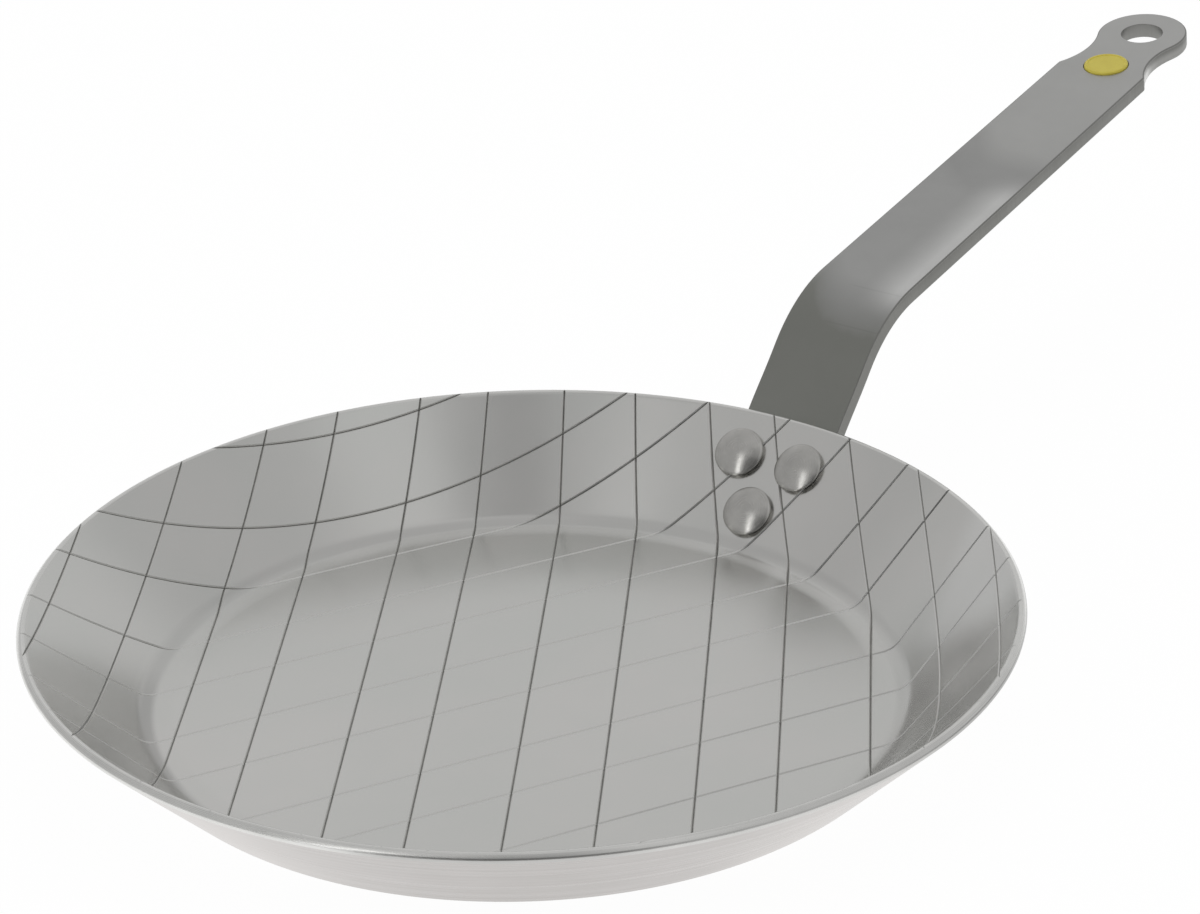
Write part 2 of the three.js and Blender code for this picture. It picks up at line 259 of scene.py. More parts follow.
# Finishes. Clouds of a size mix the dark and the light colour. Grain has a size along and across it, and
# relief a height and a strength. A pair of roughness goes from one end of the pattern to the other.
INSIDE_FINISH = {
    "dark": (0.65, 0.656, 0.636),
    "light": (0.688, 0.68, 0.663),
    "cloud_size": 0.09,
    "roughness": (0.2, 0.245),
    "grain": (0.012, 0.00025),
    "grain_roughness": (-0.01, 0.01),
    "scratch_height": 0.0000006,
    "waves_per_metre": 28.0,
    "wave_detail": 1.0,
    "wave_height": 0.00014,
}
OUTSIDE_FINISH = {
    "dark": (0.628, 0.6, 0.578),
    "light": (0.679, 0.648, 0.63),
    "cloud_size": 0.06,
    "line_spacing": 0.0007,
    "roughness": (0.26, 0.38),
    "relief": (0.000008, 0.5),
}
RIM_FINISH = {
    "dark": (0.73, 0.73, 0.712),
    "light": (0.8, 0.795, 0.777),
    "cloud_size": 0.03,
    "line_spacing": 0.0002,
    "roughness": (0.2, 0.34),
    "relief": (0.000006, 0.5),
}
GROOVE_FINISH = {"cloud_size": 0.01, "roughness": (0.32, 0.42)}
FLANK_FINISH = {**GROOVE_FINISH, "dark": (0.7, 0.7, 0.683), "light": (0.74, 0.735, 0.718)}
SLOT_FINISH = {**GROOVE_FINISH, "dark": (0.54, 0.54, 0.524), "light": (0.62, 0.615, 0.6)}
# The clouds shift the bar's tones along it. Its face, sides and edges differ in roughness.
BAR_FINISH = {
    "cloud_size": 0.025,
    "cloud_shift": (-0.002, 0.002),
    "cloud_roughness": 0.04,
    "grain": (0.0006, 0.00025),
    "grain_roughness": (-0.03, 0.03),
    "relief": (0.000012, 0.6),
}
BAR_FACE_ROUGHNESS = 0.42
BAR_SIDE_ROUGHNESS = 0.5
BAR_EDGE_ROUGHNESS = 0.45
# The grain of a rivet runs round it: its sizes are shares of a turn and of the head's radius
RIVET_FINISH = {
    "dark": (0.475, 0.47, 0.45),
    "light": (0.555, 0.546, 0.525),
    "cloud_size": 0.006,
    "grain": (0.35, 0.02),
    "roughness": (0.2, 0.28),
    "relief": (0.00001, 0.6),
    "anisotropic": 0.5,
    "anisotropic_turn": 0.25,
}
OCHRE_FINISH = {
    "dark": (0.88, 0.74, 0.11),
    "light": (0.93, 0.8, 0.14),
    "cloud_size": 0.004,
    "roughness": (0.36, 0.48),
    "specks_per_metre": 3500.0,
    "speck_detail": 3.0,
    "relief": (0.00002, 0.5),
    "specular": 0.3,
}
BLACK = (0, 0, 0, 1)
WHITE = (1, 1, 1, 1)
# Clouds are a broad and a closer noise: their detail, how much closer the second is, its share of both,
# and the middle range that is spread from 0 to 1
CLOUDS = {
    "broad_detail": 1.5,
    "close_detail": 3.0,
    "closer": 4.7,
    "close_share": 0.35,
    "spread": (0.35, 0.65),
}
# Grain and lines are a noise of this detail, which lies mostly in this range
GRAIN_DETAIL = 2.0
GRAIN_SPREAD = (0.3, 0.7)
# Relief of a pattern that is a height in metres already
RELIEF_IN_METRES = (1.0, 1.0)

# Camera, fitted to the photograph
CAMERA_TURN = math.radians(-54.28)
CAMERA_TILT = math.radians(64.84)
CAMERA_ROLL = math.radians(-1.349)
CAMERA_OFFSET = Vector((0.020945, 0.068323, 1.041533))
CAMERA_LENS = 110.92
CAMERA_SENSOR = 36

# Studio: soft patches of light and shade round the object, each at an azimuth and an elevation in degrees.
# A patch has its full change in brightness within its core and none beyond its reach.
STUDIO_LEVEL = 0.53
STUDIO_PATCHES = [
    {"name": "backdrop", "at": (24, 10), "core": 28, "reach": 50, "change": 0.12},
    {"name": "backdrop's right end", "at": (60, 37), "core": 6, "reach": 18, "change": 0.09},
    {"name": "ceiling", "at": (37, 75), "core": 15, "reach": 35, "change": 0.06},
    {"name": "front left softbox", "at": (-104, 61), "core": 9, "reach": 22, "change": 0.135},
    {"name": "front right softbox", "at": (175, 57), "core": 4, "reach": 12, "change": 0.065},
    {"name": "right softbox", "at": (84, 24), "core": 6, "reach": 15, "change": 0.045},
    {"name": "shade on the right", "at": (100, 30), "core": 10, "reach": 20, "change": -0.035},
    {"name": "gap above the camera", "at": (-134, 62), "core": 3, "reach": 13, "change": -0.24},
    {"name": "dark camera side", "at": (-150, 22), "core": 18, "reach": 38, "change": -0.39},
]
# An upright strip light: how far it reaches sideways and from which elevation to which
STRIP_AZIMUTH = 175
STRIP_CHANGE = 2.2
STRIP = {"core": 1.5, "reach": 5, "from": 4, "full_from": 12, "full_to": 40, "to": 60}
# White floor: it glows where it is seen, and the rest of it takes the shadow
STUDIO_FLOOR_RADIUS = 8.0
STUDIO_FLOOR_FACETS = 128
STUDIO_FLOOR_COLOUR = (0.9, 0.9, 0.9, 1)
STUDIO_FLOOR_GLOW = 0.92
STUDIO_FLOOR_GLOW_STRENGTH = 1.04

# Sizes that follow from the ones above
corner_length = CORNER_RADIUS * WALL_SLOPE
wall_foot_radius = FLOOR_RADIUS + CORNER_RADIUS * math.sin(WALL_SLOPE)
wall_foot_height = SHEET + CORNER_RADIUS * (1 - math.cos(WALL_SLOPE))
inner_rim_radius = RIM_RADIUS - SHEET * math.sin(WALL_SLOPE)
wall_length = (inner_rim_radius - wall_foot_radius) / math.cos(WALL_SLOPE)
inner_rim_height = wall_foot_height + wall_length * math.sin(WALL_SLOPE)
outer_rim_height = inner_rim_height - SHEET * math.cos(WALL_SLOPE)
blank_wall_start = FLOOR_RADIUS + corner_length / WALL_STRETCH
blank_radius = FLOOR_RADIUS + (corner_length + wall_length) / WALL_STRETCH
bend_end = BEND_START + BEND_RADIUS * (RISE_SLOPE - REACH_SLOPE)
neck_at = EYE_AT - NECK_BEFORE_EYE
neck_centre_aside = math.sqrt((EYE_RADIUS + NECK_RADIUS) ** 2 - NECK_BEFORE_EYE**2)
shoulder_depth = neck_centre_aside - BAR_WIDTH_AT_SHOULDER / 2
shoulder_at = neck_at - math.sqrt(NECK_RADIUS**2 - shoulder_depth**2)
tongue_length = PAD_LENGTH + PAD_FULL_WIDTH_AT
rivet_tail_seat = -(SHEET + GAP + PAD_THICKNESS)


def make_active(piece):
    bpy.ops.object.select_all(action="DESELECT")
    piece.select_set(True)
    bpy.context.view_layer.objects.active = piece


def edit_all(piece):
    make_active(piece)
    bpy.ops.object.mode_set(mode="EDIT")
    bpy.ops.mesh.select_all(action="SELECT")


def leave_edit():
    bpy.ops.object.mode_set(mode="OBJECT")


def face_outwards():
    """Turns all faces of the piece that is edited outwards, and leaves edit mode."""
    bpy.ops.mesh.select_all(action="SELECT")
    bpy.ops.mesh.normals_make_consistent(inside=False)
    leave_edit()


def give_materials(piece, *materials):
    for material in materials:
        piece.data.materials.append(material)


def apply_modifier(piece, kind, **settings):
    make_active(piece)
    modifier = piece.modifiers.new(kind.lower(), kind)
    for name, value in settings.items():
        setattr(modifier, name, value)
    bpy.ops.object.modifier_apply(modifier=modifier.name)


def remove_piece(piece):
    mesh = piece.data
    bpy.data.objects.remove(piece)
    bpy.data.meshes.remove(mesh)


def copy_of(piece):
    """A copy of a piece with a mesh of its own."""
    make_active(piece)
    bpy.ops.object.duplicate()
    return bpy.context.object


def place_by(piece, matrix):
    """Moves a piece and puts the move into its mesh, so that its object stays at the origin."""
    make_active(piece)
    piece.matrix_world = matrix
    bpy.ops.object.transform_apply(location=True, rotation=True, scale=True)


def cut_away(piece, cutter):
    apply_modifier(
        piece,
        "BOOLEAN",
        operation="DIFFERENCE",
        solver="EXACT",
        material_mode="TRANSFER",
        object=cutter,
    )
    remove_piece(cutter)


def smooth_by_angle(piece):
    make_active(piece)
    bpy.ops.object.shade_smooth_by_angle(angle=SHARP_ANGLE, keep_sharp_edges=False)


def keep_flats_flat(piece):
    """Lets the large faces set the shading at a rounded edge."""
    apply_modifier(piece, "WEIGHTED_NORMAL", keep_sharp=True)


def drawn_line(name, points):
    """Draws a chain of edges through points by extruding one vertex from each point to the next."""
    bpy.ops.object.select_all(action="DESELECT")
    bpy.ops.mesh.primitive_plane_add(size=SHEET)
    piece = bpy.context.object
    piece.name = name
    piece.data.name = name
    edit_all(piece)
    bpy.ops.mesh.merge(type="CENTER")
    bpy.ops.transform.translate(value=points[0])
    for before, after in zip(points, points[1:]):
        bpy.ops.mesh.extrude_vertices_move(TRANSFORM_OT_translate={"value": after - before})
    leave_edit()
    return piece


def turned(name, profile, facets):
    """Spins a profile of radius and height about the Z axis, and closes it where it is open."""
    piece = drawn_line(name, [Vector((radius, 0, height)) for radius, height in profile])
    edit_all(piece)
    bpy.ops.mesh.spin(steps=facets, angle=math.tau, center=(0, 0, 0), axis=(0, 0, 1))
    bpy.ops.mesh.select_all(action="SELECT")
    bpy.ops.mesh.remove_doubles(threshold=SAME_POINT)
    bpy.ops.mesh.fill_holes(sides=0)
    face_outwards()
    return piece


def drill(radius, low, high, matrix):
    """A rod along the Z axis of a frame, from a low to a high point on that axis."""
    bpy.ops.object.select_all(action="DESELECT")
    bpy.ops.mesh.primitive_cylinder_add(
        vertices=HOLE_FACETS,
        radius=radius,
        depth=high - low,
        location=(0, 0, (low + high) / 2),
    )
    rod = bpy.context.object
    bpy.ops.object.transform_apply(location=True, rotation=True, scale=True)
    place_by(rod, matrix)
    return rod


def arc(centre, radius, start, end, steps):
    """Points on an arc from one angle to another, both ends included."""
    angles = [start + (end - start) * i / steps for i in range(steps + 1)]
    return [(centre[0] + radius * math.cos(a), centre[1] + radius * math.sin(a)) for a in angles]


def rivet_frame(below_rim, turn):
    """The frame of a rivet: its origin on the wall's inside, its Z axis pointing into the pan."""
    radius = inner_rim_radius - below_rim * math.cos(WALL_SLOPE)
    height = inner_rim_height - below_rim * math.sin(WALL_SLOPE)
    lean = Matrix.Rotation(-WALL_SLOPE, 4, "Y")
    return Matrix.Rotation(turn, 4, "Z") @ Matrix.Translation((radius, 0, height)) @ lean


def drill_rivet_holes(piece):
    for rivet in RIVETS:
        matrix = rivet_frame(rivet["below_rim"], rivet["turn"])
        cut_away(piece, drill(RIVET_SHANK_RADIUS + GAP, rivet_tail_seat - OVERCUT, OVERCUT, matrix))


def hand_in(piece, node):
    """Lets a finished piece stand for its solid and ride with the object."""
    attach(piece, "root")
    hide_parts(node)


# Pan


def pressed(point):
    """Where a point of the flat blank is after pressing. Depth is measured from the inside face."""
    flat_radius = math.hypot(point.x, point.y)
    turn = math.atan2(point.y, point.x)
    depth = SHEET - point.z
    past = max(0, (flat_radius - FLOOR_RADIUS) * WALL_STRETCH)
    tilt = min(past / CORNER_RADIUS, WALL_SLOPE)
    up_wall = max(0, past - corner_length)
    floor_part = min(flat_radius, FLOOR_RADIUS)
    radius = floor_part + (CORNER_RADIUS + depth) * math.sin(tilt) + up_wall * math.cos(WALL_SLOPE)
    rise = CORNER_RADIUS - (CORNER_RADIUS + depth) * math.cos(tilt)
    height = SHEET + rise + up_wall * math.sin(WALL_SLOPE)
    return Vector((radius * math.cos(turn), radius * math.sin(turn), height))


def pan_blank():
    """The flat round of sheet, with rings of edges where it will be bent and rounded edges."""
    corner_blank = blank_wall_start - FLOOR_RADIUS
    flat_end = blank_radius - RIM_ROUND
    wall_blank = flat_end - blank_wall_start
    rings = [FLOOR_RADIUS - FLAT_MARGIN]
    rings += [FLOOR_RADIUS + corner_blank * i / CORNER_RINGS for i in range(CORNER_RINGS + 1)]
    rings.append(blank_wall_start + FLAT_MARGIN)
    rings += [blank_wall_start + wall_blank * i / WALL_RINGS for i in range(1, WALL_RINGS)]
    rings.append(flat_end - RIM_MARGIN)
    under = [(radius, 0) for radius in rings]
    over = [(radius, SHEET) for radius in reversed(rings)]
    lower_round = arc((flat_end, RIM_ROUND), RIM_ROUND, -math.pi / 2, 0, ROUND_STEPS)
    upper_round = arc((flat_end, SHEET - RIM_ROUND), RIM_ROUND, 0, math.pi / 2, ROUND_STEPS)
    return turned("pan", under + lower_round + upper_round + over, PAN_FACETS)


def groove_bar(slot_width, flank, slot):
    """A bar with the section of an engraved line, in short lengths that can follow the bent wall."""
    reach = blank_radius + OVERCUT
    half_slot = slot_width / 2
    flank_depth = GROOVE_WIDTH / 2 - half_slot
    section = [
        (0, -flank_depth - SLOT_DEPTH),
        (half_slot, -flank_depth),
        (GROOVE_WIDTH, GROOVE_WIDTH / 2),
        (-GROOVE_WIDTH, GROOVE_WIDTH / 2),
        (-half_slot, -flank_depth),
        (0, -flank_depth - SLOT_DEPTH),
    ]
    bar = drawn_line("groove_bar", [Vector((x, -reach, SHEET + z)) for x, z in section])
    edit_all(bar)
    bpy.ops.mesh.remove_doubles(threshold=SAME_POINT)
    leave_edit()
    apply_modifier(bar, "SCREW", axis="Y", angle=0, screw_offset=2 * reach, steps=GROOVE_ROWS)
    edit_all(bar)
    bpy.ops.mesh.fill_holes(sides=0)
    face_outwards()
    give_materials(bar, flank, slot)
    for face in bar.data.polygons:
        face.material_index = 1 if face.center.z < SHEET - flank_depth else 0
    return bar


def groove_cutter(family, flank, slot):
    """One bar for each engraved line of a family."""
    first = groove_bar(family["slot_width"], flank, slot)
    bars = [first] + [copy_of(first) for _ in family["offsets"][1:]]
    turn = Matrix.Rotation(family["normal"], 4, "Z")
    for bar, offset in zip(bars, family["offsets"]):
        place_by(bar, turn @ Matrix.Translation((offset, 0, 0)))
    make_active(first)
    for bar in bars:
        bar.select_set(True)
    bpy.ops.object.join()
    return first


def lay_flat_map(piece, name):
    """Keeps the flat shape as a UV map in metres, so that the grain follows the steel when it is bent."""
    layer = piece.data.uv_layers.new(name=name)
    for loop in piece.data.loops:
        layer.data[loop.index].uv = piece.data.vertices[loop.vertex_index].co.xy


def build_pan(inside, outside, rim, rim_edge, flanks, slot):
    piece = pan_blank()
    give_materials(piece, inside, outside, rim, rim_edge)
    rim_from = blank_radius - RIM_ROUND
    for face in piece.data.polygons:
        if math.hypot(face.center.x, face.center.y) > rim_from:
            face.material_index = 3 if face.center.z < RIM_ROUND else 2
        elif face.normal.z < 0:
            face.material_index = 1
    for family, flank in zip(GROOVE_FAMILIES, flanks):
        cut_away(piece, groove_cutter(family, flank, slot))
    lay_flat_map(piece, "blank")
    for vertex in piece.data.vertices:
        vertex.co = pressed(vertex.co)
    drill_rivet_holes(piece)
    smooth_by_angle(piece)
    hand_in(piece, "pan_body")


# Handle


def bar_frame(distance):
    """The frame of the bar at a distance past the rim: X along it, Z out of its upper face."""
    slope = WALL_SLOPE if distance < 0 else RISE_SLOPE
    rise = min(distance, BEND_START)
    x = RIM_RADIUS + GAP * math.sin(WALL_SLOPE) + rise * math.cos(slope)
    z = outer_rim_height - GAP * math.cos(WALL_SLOPE) + rise * math.sin(slope)
    if distance > BEND_START:
        bent_to = slope - (min(distance, bend_end) - BEND_START) / BEND_RADIUS
        x += BEND_RADIUS * (math.sin(slope) - math.sin(bent_to))
        z += BEND_RADIUS * (math.cos(bent_to) - math.cos(slope))
        slope = bent_to
    reach = max(0, distance - bend_end)
    x += reach * math.cos(slope)
    z += reach * math.sin(slope)
    return Matrix.Translation((x, 0, z)) @ Matrix.Rotation(-slope, 4, "Y")


def bent(point):
    """Where a point of the flat bar is after bending, thinning and curling the pad to the round wall."""
    pad_share = min(max(-point.x / PAD_THINS_OVER, 0), 1)
    thickness = BAR_THICKNESS + (PAD_THICKNESS - BAR_THICKNESS) * pad_share
    wall_radius = (RIM_RADIUS + min(point.x, 0) * math.cos(WALL_SLOPE)) / math.cos(WALL_SLOPE)
    fade = min(max(point.x / CURL_FADES_OVER, 0), 1)
    curl = (1 - fade * fade * (3 - 2 * fade)) / (2 * wall_radius)
    height = curl * point.y**2 + point.z * thickness / BAR_THICKNESS
    return bar_frame(point.x) @ Vector((0, point.y, height))


def bar_outline():
    """The flat bar's plan: a tongue, nearly parallel sides, a waisted neck and a round eye."""
    half_rim = BAR_WIDTH_AT_RIM / 2
    tongue = arc((0, 0), 1, math.pi, math.pi / 2, TONGUE_STEPS)
    side = [(PAD_FULL_WIDTH_AT + x * tongue_length, y * half_rim) for x, y in tongue]
    side.append((0, half_rim))
    to_eye = math.atan2(-neck_centre_aside, NECK_BEFORE_EYE)
    to_shoulder = math.atan2(-shoulder_depth, shoulder_at - neck_at)
    side += arc((neck_at, neck_centre_aside), NECK_RADIUS, to_shoulder, to_eye, NECK_STEPS)
    side += arc((EYE_AT, 0), EYE_RADIUS, to_eye + math.pi, 0, EYE_STEPS)[1:]
    other = [(x, -y) for x, y in reversed(side[1:-1])]
    return [Vector((x, y, 0)) for x, y in side + other + side[:1]]


def bend_stations():
    """Distances along the bar where it needs a row of edges, so that it bends smoothly."""
    stations = [-PAD_THINS_OVER, 0]
    stations += [BEND_START * i / RISE_ROWS for i in range(1, RISE_ROWS)]
    stations += [BEND_START + (bend_end - BEND_START) * i / BEND_ROWS for i in range(BEND_ROWS + 1)]
    stations += [bend_end + (EYE_AT - bend_end) * i / REACH_ROWS for i in range(1, REACH_ROWS)]
    return stations


def cut_rows(piece, normal, places):
    """Cuts rows of edges across a piece without parting it."""
    for place in places:
        edit_all(piece)
        bpy.ops.mesh.bisect(plane_co=Vector(normal) * place, plane_no=normal)
        leave_edit()


def hanging_hole(material):
    """The shape that cuts the hanging hole and a fine chamfer at both its ends."""
    reach = 2 * HANG_HOLE_CHAMFER
    profile = [
        (0, -BAR_THICKNESS - reach),
        (HANG_HOLE_RADIUS + HANG_HOLE_CHAMFER + reach, -BAR_THICKNESS - reach),
        (HANG_HOLE_RADIUS, HANG_HOLE_CHAMFER - BAR_THICKNESS),
        (HANG_HOLE_RADIUS, -HANG_HOLE_CHAMFER),
        (HANG_HOLE_RADIUS + HANG_HOLE_CHAMFER + reach, reach),
        (0, reach),
    ]
    cutter = turned("hanging_hole", profile, HOLE_FACETS)
    give_materials(cutter, material)
    place_by(cutter, Matrix.Translation((EYE_AT, 0, 0)))
    return cutter


def build_handle(flat, side, edge):
    piece = drawn_line("bar_handle", bar_outline())
    edit_all(piece)
    bpy.ops.mesh.remove_doubles(threshold=SAME_POINT)
    bpy.ops.mesh.edge_face_add()
    bpy.ops.mesh.extrude_region_move(TRANSFORM_OT_translate={"value": (0, 0, -BAR_THICKNESS)})
    face_outwards()
    give_materials(piece, flat, side, edge)
    for face in piece.data.polygons:
        face.material_index = 0 if abs(face.normal.z) > LIES_FLAT else 1
    apply_modifier(
        piece,
        "BEVEL",
        width=BAR_EDGE_ROUND,
        segments=ROUND_STEPS,
        limit_method="ANGLE",
        angle_limit=SHARP_ANGLE,
        material=2,
    )
    cut_away(piece, hanging_hole(edge))
    seat = Matrix.Translation((MEDALLION_AT, 0, 0))
    cut_away(piece, drill(MEDALLION_RADIUS + GAP, -SEAT_DEPTH, OVERCUT, seat))
    cut_rows(piece, (1, 0, 0), bend_stations())
    half = BAR_WIDTH_AT_RIM / 2
    cut_rows(piece, (0, 1, 0), [half * share for share in LENGTHWISE_ROWS])
    lay_flat_map(piece, "bar")
    for vertex in piece.data.vertices:
        vertex.co = bent(vertex.co)
    drill_rivet_holes(piece)
    smooth_by_angle(piece)
    keep_flats_flat(piece)
    hand_in(piece, "handle")


# Rivets and medallion


def lay_round_map(piece, size):
    """A UV map round a turned piece: u goes round it and v is the distance from its axis."""
    layer = piece.data.uv_layers.new(name="round")
    for face in piece.data.polygons:
        middle = math.atan2(face.center.y, face.center.x)
        for index in face.loop_indices:
            point = piece.data.vertices[piece.data.loops[index].vertex_index].co
            radius = math.hypot(point.x, point.y)
            turn = 0
            if radius > SAME_POINT:
                turn = (math.atan2(point.y, point.x) - middle + math.pi) % math.tau - math.pi
            layer.data[index].uv = ((middle + turn) / math.tau, radius / size)


def rivet_profile():
    """Half the section of a rivet, from its clenched tail to the top of its domed head."""
    tail_face = rivet_tail_seat - GAP
    head_edge = GAP + RIVET_EDGE
    profile = [
        (0, tail_face - RIVET_TAIL_HEIGHT),
        (RIVET_TAIL_FLAT, tail_face - RIVET_TAIL_HEIGHT),
        (RIVET_TAIL_RADIUS, tail_face - RIVET_TAIL_HEIGHT / 2),
        (RIVET_TAIL_RADIUS, tail_face),
        (RIVET_SHANK_RADIUS, tail_face),
        (RIVET_SHANK_RADIUS, GAP),
        (RIVET_HEAD_RADIUS - RIVET_UNDERCUT, GAP),
    ]
    round_centre = (RIVET_HEAD_RADIUS - RIVET_EDGE_ROUND, head_edge)
    profile += arc(round_centre, RIVET_EDGE_ROUND, 0, RIVET_EDGE_TURN, ROUND_STEPS)
    dome_radius, dome_foot = profile[-1]
    dome_top = head_edge + RIVET_DOME
    for i in range(1, RIVET_DOME_STEPS + 1):
        share = 1 - i / RIVET_DOME_STEPS
        profile.append((dome_radius * share, dome_top - (dome_top - dome_foot) * share**2))
    return profile


def build_rivets(material):
    """Turns one rivet and sets a copy of it in each place."""
    pattern = turned("rivet_pattern", rivet_profile(), RIVET_FACETS)
    give_materials(pattern, material)
    lay_round_map(pattern, RIVET_HEAD_RADIUS)
    for rivet in RIVETS:
        piece = copy_of(pattern)
        piece.name = rivet["name"] + "_turned"
        piece.data.name = piece.name
        place_by(piece, rivet_frame(rivet["below_rim"], rivet["turn"]))
        smooth_by_angle(piece)
        keep_flats_flat(piece)
        hand_in(piece, rivet["name"])
    remove_piece(pattern)


def build_medallion(material):
    rim_inner = MEDALLION_RADIUS - MEDALLION_RIM
    edge = (MEDALLION_RADIUS - MEDALLION_ROUND, MEDALLION_PROUD - MEDALLION_ROUND)
    profile = [(0, GAP - SEAT_DEPTH), (MEDALLION_RADIUS, GAP - SEAT_DEPTH)]
    profile += arc(edge, MEDALLION_ROUND, 0, math.pi / 2, 2 * ROUND_STEPS)
    profile += [
        (rim_inner, MEDALLION_PROUD),
        (rim_inner - MEDALLION_DISH, MEDALLION_PROUD - MEDALLION_DISH),
        (0, MEDALLION_PROUD - MEDALLION_DISH),
    ]
    piece = turned("medallion_disc", profile, RIVET_FACETS)
    give_materials(piece, material)
    place_by(piece, bar_frame(MEDALLION_AT))
    smooth_by_angle(piece)
    keep_flats_flat(piece)
    hand_in(piece, "medallion")


# Materials


def add_node(tree, kind, settings=None, inputs=None):
    """Adds a node. An input is a value, or another node's output socket to link."""
    made = tree.nodes.new(kind)
    for name, value in (settings or {}).items():
        setattr(made, name, value)
    for name, value in (inputs or {}).items():
        if isinstance(value, bpy.types.NodeSocket):
            tree.links.new(value, made.inputs[name])
        else:
            made.inputs[name].default_value = value
    return made


def math_node(tree, operation, first, second=0.0, clamp=False):
    settings = {"operation": operation, "use_clamp": clamp}
    return add_node(tree, "ShaderNodeMath", settings, {0: first, 1: second}).outputs[0]


def added(tree, first, second):
    return math_node(tree, "ADD", first, second)


def multiplied(tree, first, second):
    return math_node(tree, "MULTIPLY", first, second)


def vector_node(tree, operation, *vectors):
    return add_node(tree, "ShaderNodeVectorMath", {"operation": operation}, dict(enumerate(vectors)))


def dot_node(tree, first, second):
    return vector_node(tree, "DOT_PRODUCT", first, second).outputs["Value"]


def length_node(tree, vector):
    return vector_node(tree, "LENGTH", vector).outputs["Value"]


def direction_node(tree, vector):
    return vector_node(tree, "NORMALIZE", vector).outputs[0]


def level_part(tree, place):
    """The level vector from the Z axis to a place."""
    return vector_node(tree, "MULTIPLY", place, (1, 1, 0)).outputs[0]


def direction_of(azimuth, elevation):
    turn = math.radians(azimuth)
    rise = math.radians(elevation)
    return (math.cos(rise) * math.cos(turn), math.cos(rise) * math.sin(turn), math.sin(rise))


def map_range(tree, value, low, high, to_low, to_high):
    return add_node(
        tree,
        "ShaderNodeMapRange",
        inputs={"Value": value, 1: low, 2: high, 3: to_low, 4: to_high},
    ).outputs["Result"]


def smooth_range(tree, value, low, high, to_high=1.0):
    """Rises smoothly from 0 at low to a value at high. The low end may be the greater number."""
    risen = map_range(tree, value, low, high, 0.0, to_high)
    risen.node.interpolation_type = "SMOOTHSTEP"
    return risen


def band(tree, value, places):
    """Rises smoothly from 0 to 1 between two places and falls to 0 again between two further ones."""
    starts = smooth_range(tree, value, places["from"], places["full_from"])
    stops = smooth_range(tree, value, places["to"], places["full_to"])
    return multiplied(tree, starts, stops)


def noise(tree, vector, scale, detail):
    return add_node(
        tree,
        "ShaderNodeTexNoise",
        inputs={"Vector": vector, "Scale": scale, "Detail": detail},
    ).outputs["Fac"]


def mix_colour(tree, factor, first, second):
    return add_node(
        tree,
        "ShaderNodeMix",
        {"data_type": "RGBA"},
        {0: factor, 6: first, 7: second},
    ).outputs[2]


def new_group(name, inputs, output):
    """A shader node group with named sockets. Returns its tree, its inputs and where its mask goes."""
    tree = bpy.data.node_groups.new(name, "ShaderNodeTree")
    for socket, kind in inputs.items():
        tree.interface.new_socket(name=socket, in_out="INPUT", socket_type=kind)
    tree.interface.new_socket(name=output, in_out="OUTPUT", socket_type="NodeSocketFloat")
    given = tree.nodes.new("NodeGroupInput").outputs
    result = tree.nodes.new("NodeGroupOutput").inputs[output]
    return tree, given, result


def cloudy_finish_group():
    """Soft patches where pressing, heat and wiping left a slightly different shine, from 0 to 1."""
    sockets = {"Vector": "NodeSocketVector", "Size": "NodeSocketFloat"}
    tree, given, result = new_group("cloudy_finish", sockets, "Clouds")
    scale = math_node(tree, "DIVIDE", 1.0, given["Size"])
    broad = noise(tree, given["Vector"], scale, CLOUDS["broad_detail"])
    closer = multiplied(tree, scale, CLOUDS["closer"])
    close = noise(tree, given["Vector"], closer, CLOUDS["close_detail"])
    broad_part = multiplied(tree, broad, 1 - CLOUDS["close_share"])
    both = added(tree, multiplied(tree, close, CLOUDS["close_share"]), broad_part)
    tree.links.new(map_range(tree, both, *CLOUDS["spread"], 0.0, 1.0), result)
    return tree


def satin_grain_group():
    """Fine straight grain of rolled and brushed steel, from 0 to 1. Along and Across are grain sizes."""
    sockets = {"Vector": "NodeSocketVector", "Along": "NodeSocketFloat", "Across": "NodeSocketFloat"}
    tree, given, result = new_group("satin_grain", sockets, "Grain")
    parts = add_node(tree, "ShaderNodeSeparateXYZ", inputs={0: given["Vector"]}).outputs
    along = math_node(tree, "DIVIDE", parts["X"], given["Along"])
    across = math_node(tree, "DIVIDE", parts["Y"], given["Across"])
    stretched = add_node(tree, "ShaderNodeCombineXYZ", inputs={"X": along, "Y": across})
    tree.links.new(noise(tree, stretched.outputs[0], 1.0, GRAIN_DETAIL), result)
    return tree


def turned_lines_group():
    """Fine lines that run round the Z axis, as spinning and polishing leave them, from 0 to 1."""
    sockets = {"Vector": "NodeSocketVector", "Spacing": "NodeSocketFloat"}
    tree, given, result = new_group("turned_lines", sockets, "Lines")
    level = level_part(tree, given["Vector"])
    row = math_node(tree, "DIVIDE", length_node(tree, level), given["Spacing"])
    parts = add_node(tree, "ShaderNodeSeparateXYZ", inputs={0: direction_node(tree, level)}).outputs
    round_it = add_node(
        tree,
        "ShaderNodeCombineXYZ",
        inputs={"X": parts["X"], "Y": parts["Y"], "Z": row},
    )
    tree.links.new(noise(tree, round_it.outputs[0], 1.0, GRAIN_DETAIL), result)
    return tree


def new_material(name):
    """A material with only a Principled BSDF. Returns it, its node tree and the BSDF."""
    material = bpy.data.materials.new(name)
    material.use_nodes = True
    tree = material.node_tree
    return material, tree, tree.nodes["Principled BSDF"]


def new_steel(name):
    material, tree, shader = new_material(name)
    shader.inputs["Metallic"].default_value = 1
    return material, tree, shader


def use_group(tree, group, inputs):
    return add_node(tree, "ShaderNodeGroup", {"node_tree": group}, inputs).outputs[0]


def cloud_mask(tree, groups, place, finish):
    return use_group(tree, groups["cloudy_finish"], {"Vector": place, "Size": finish["cloud_size"]})


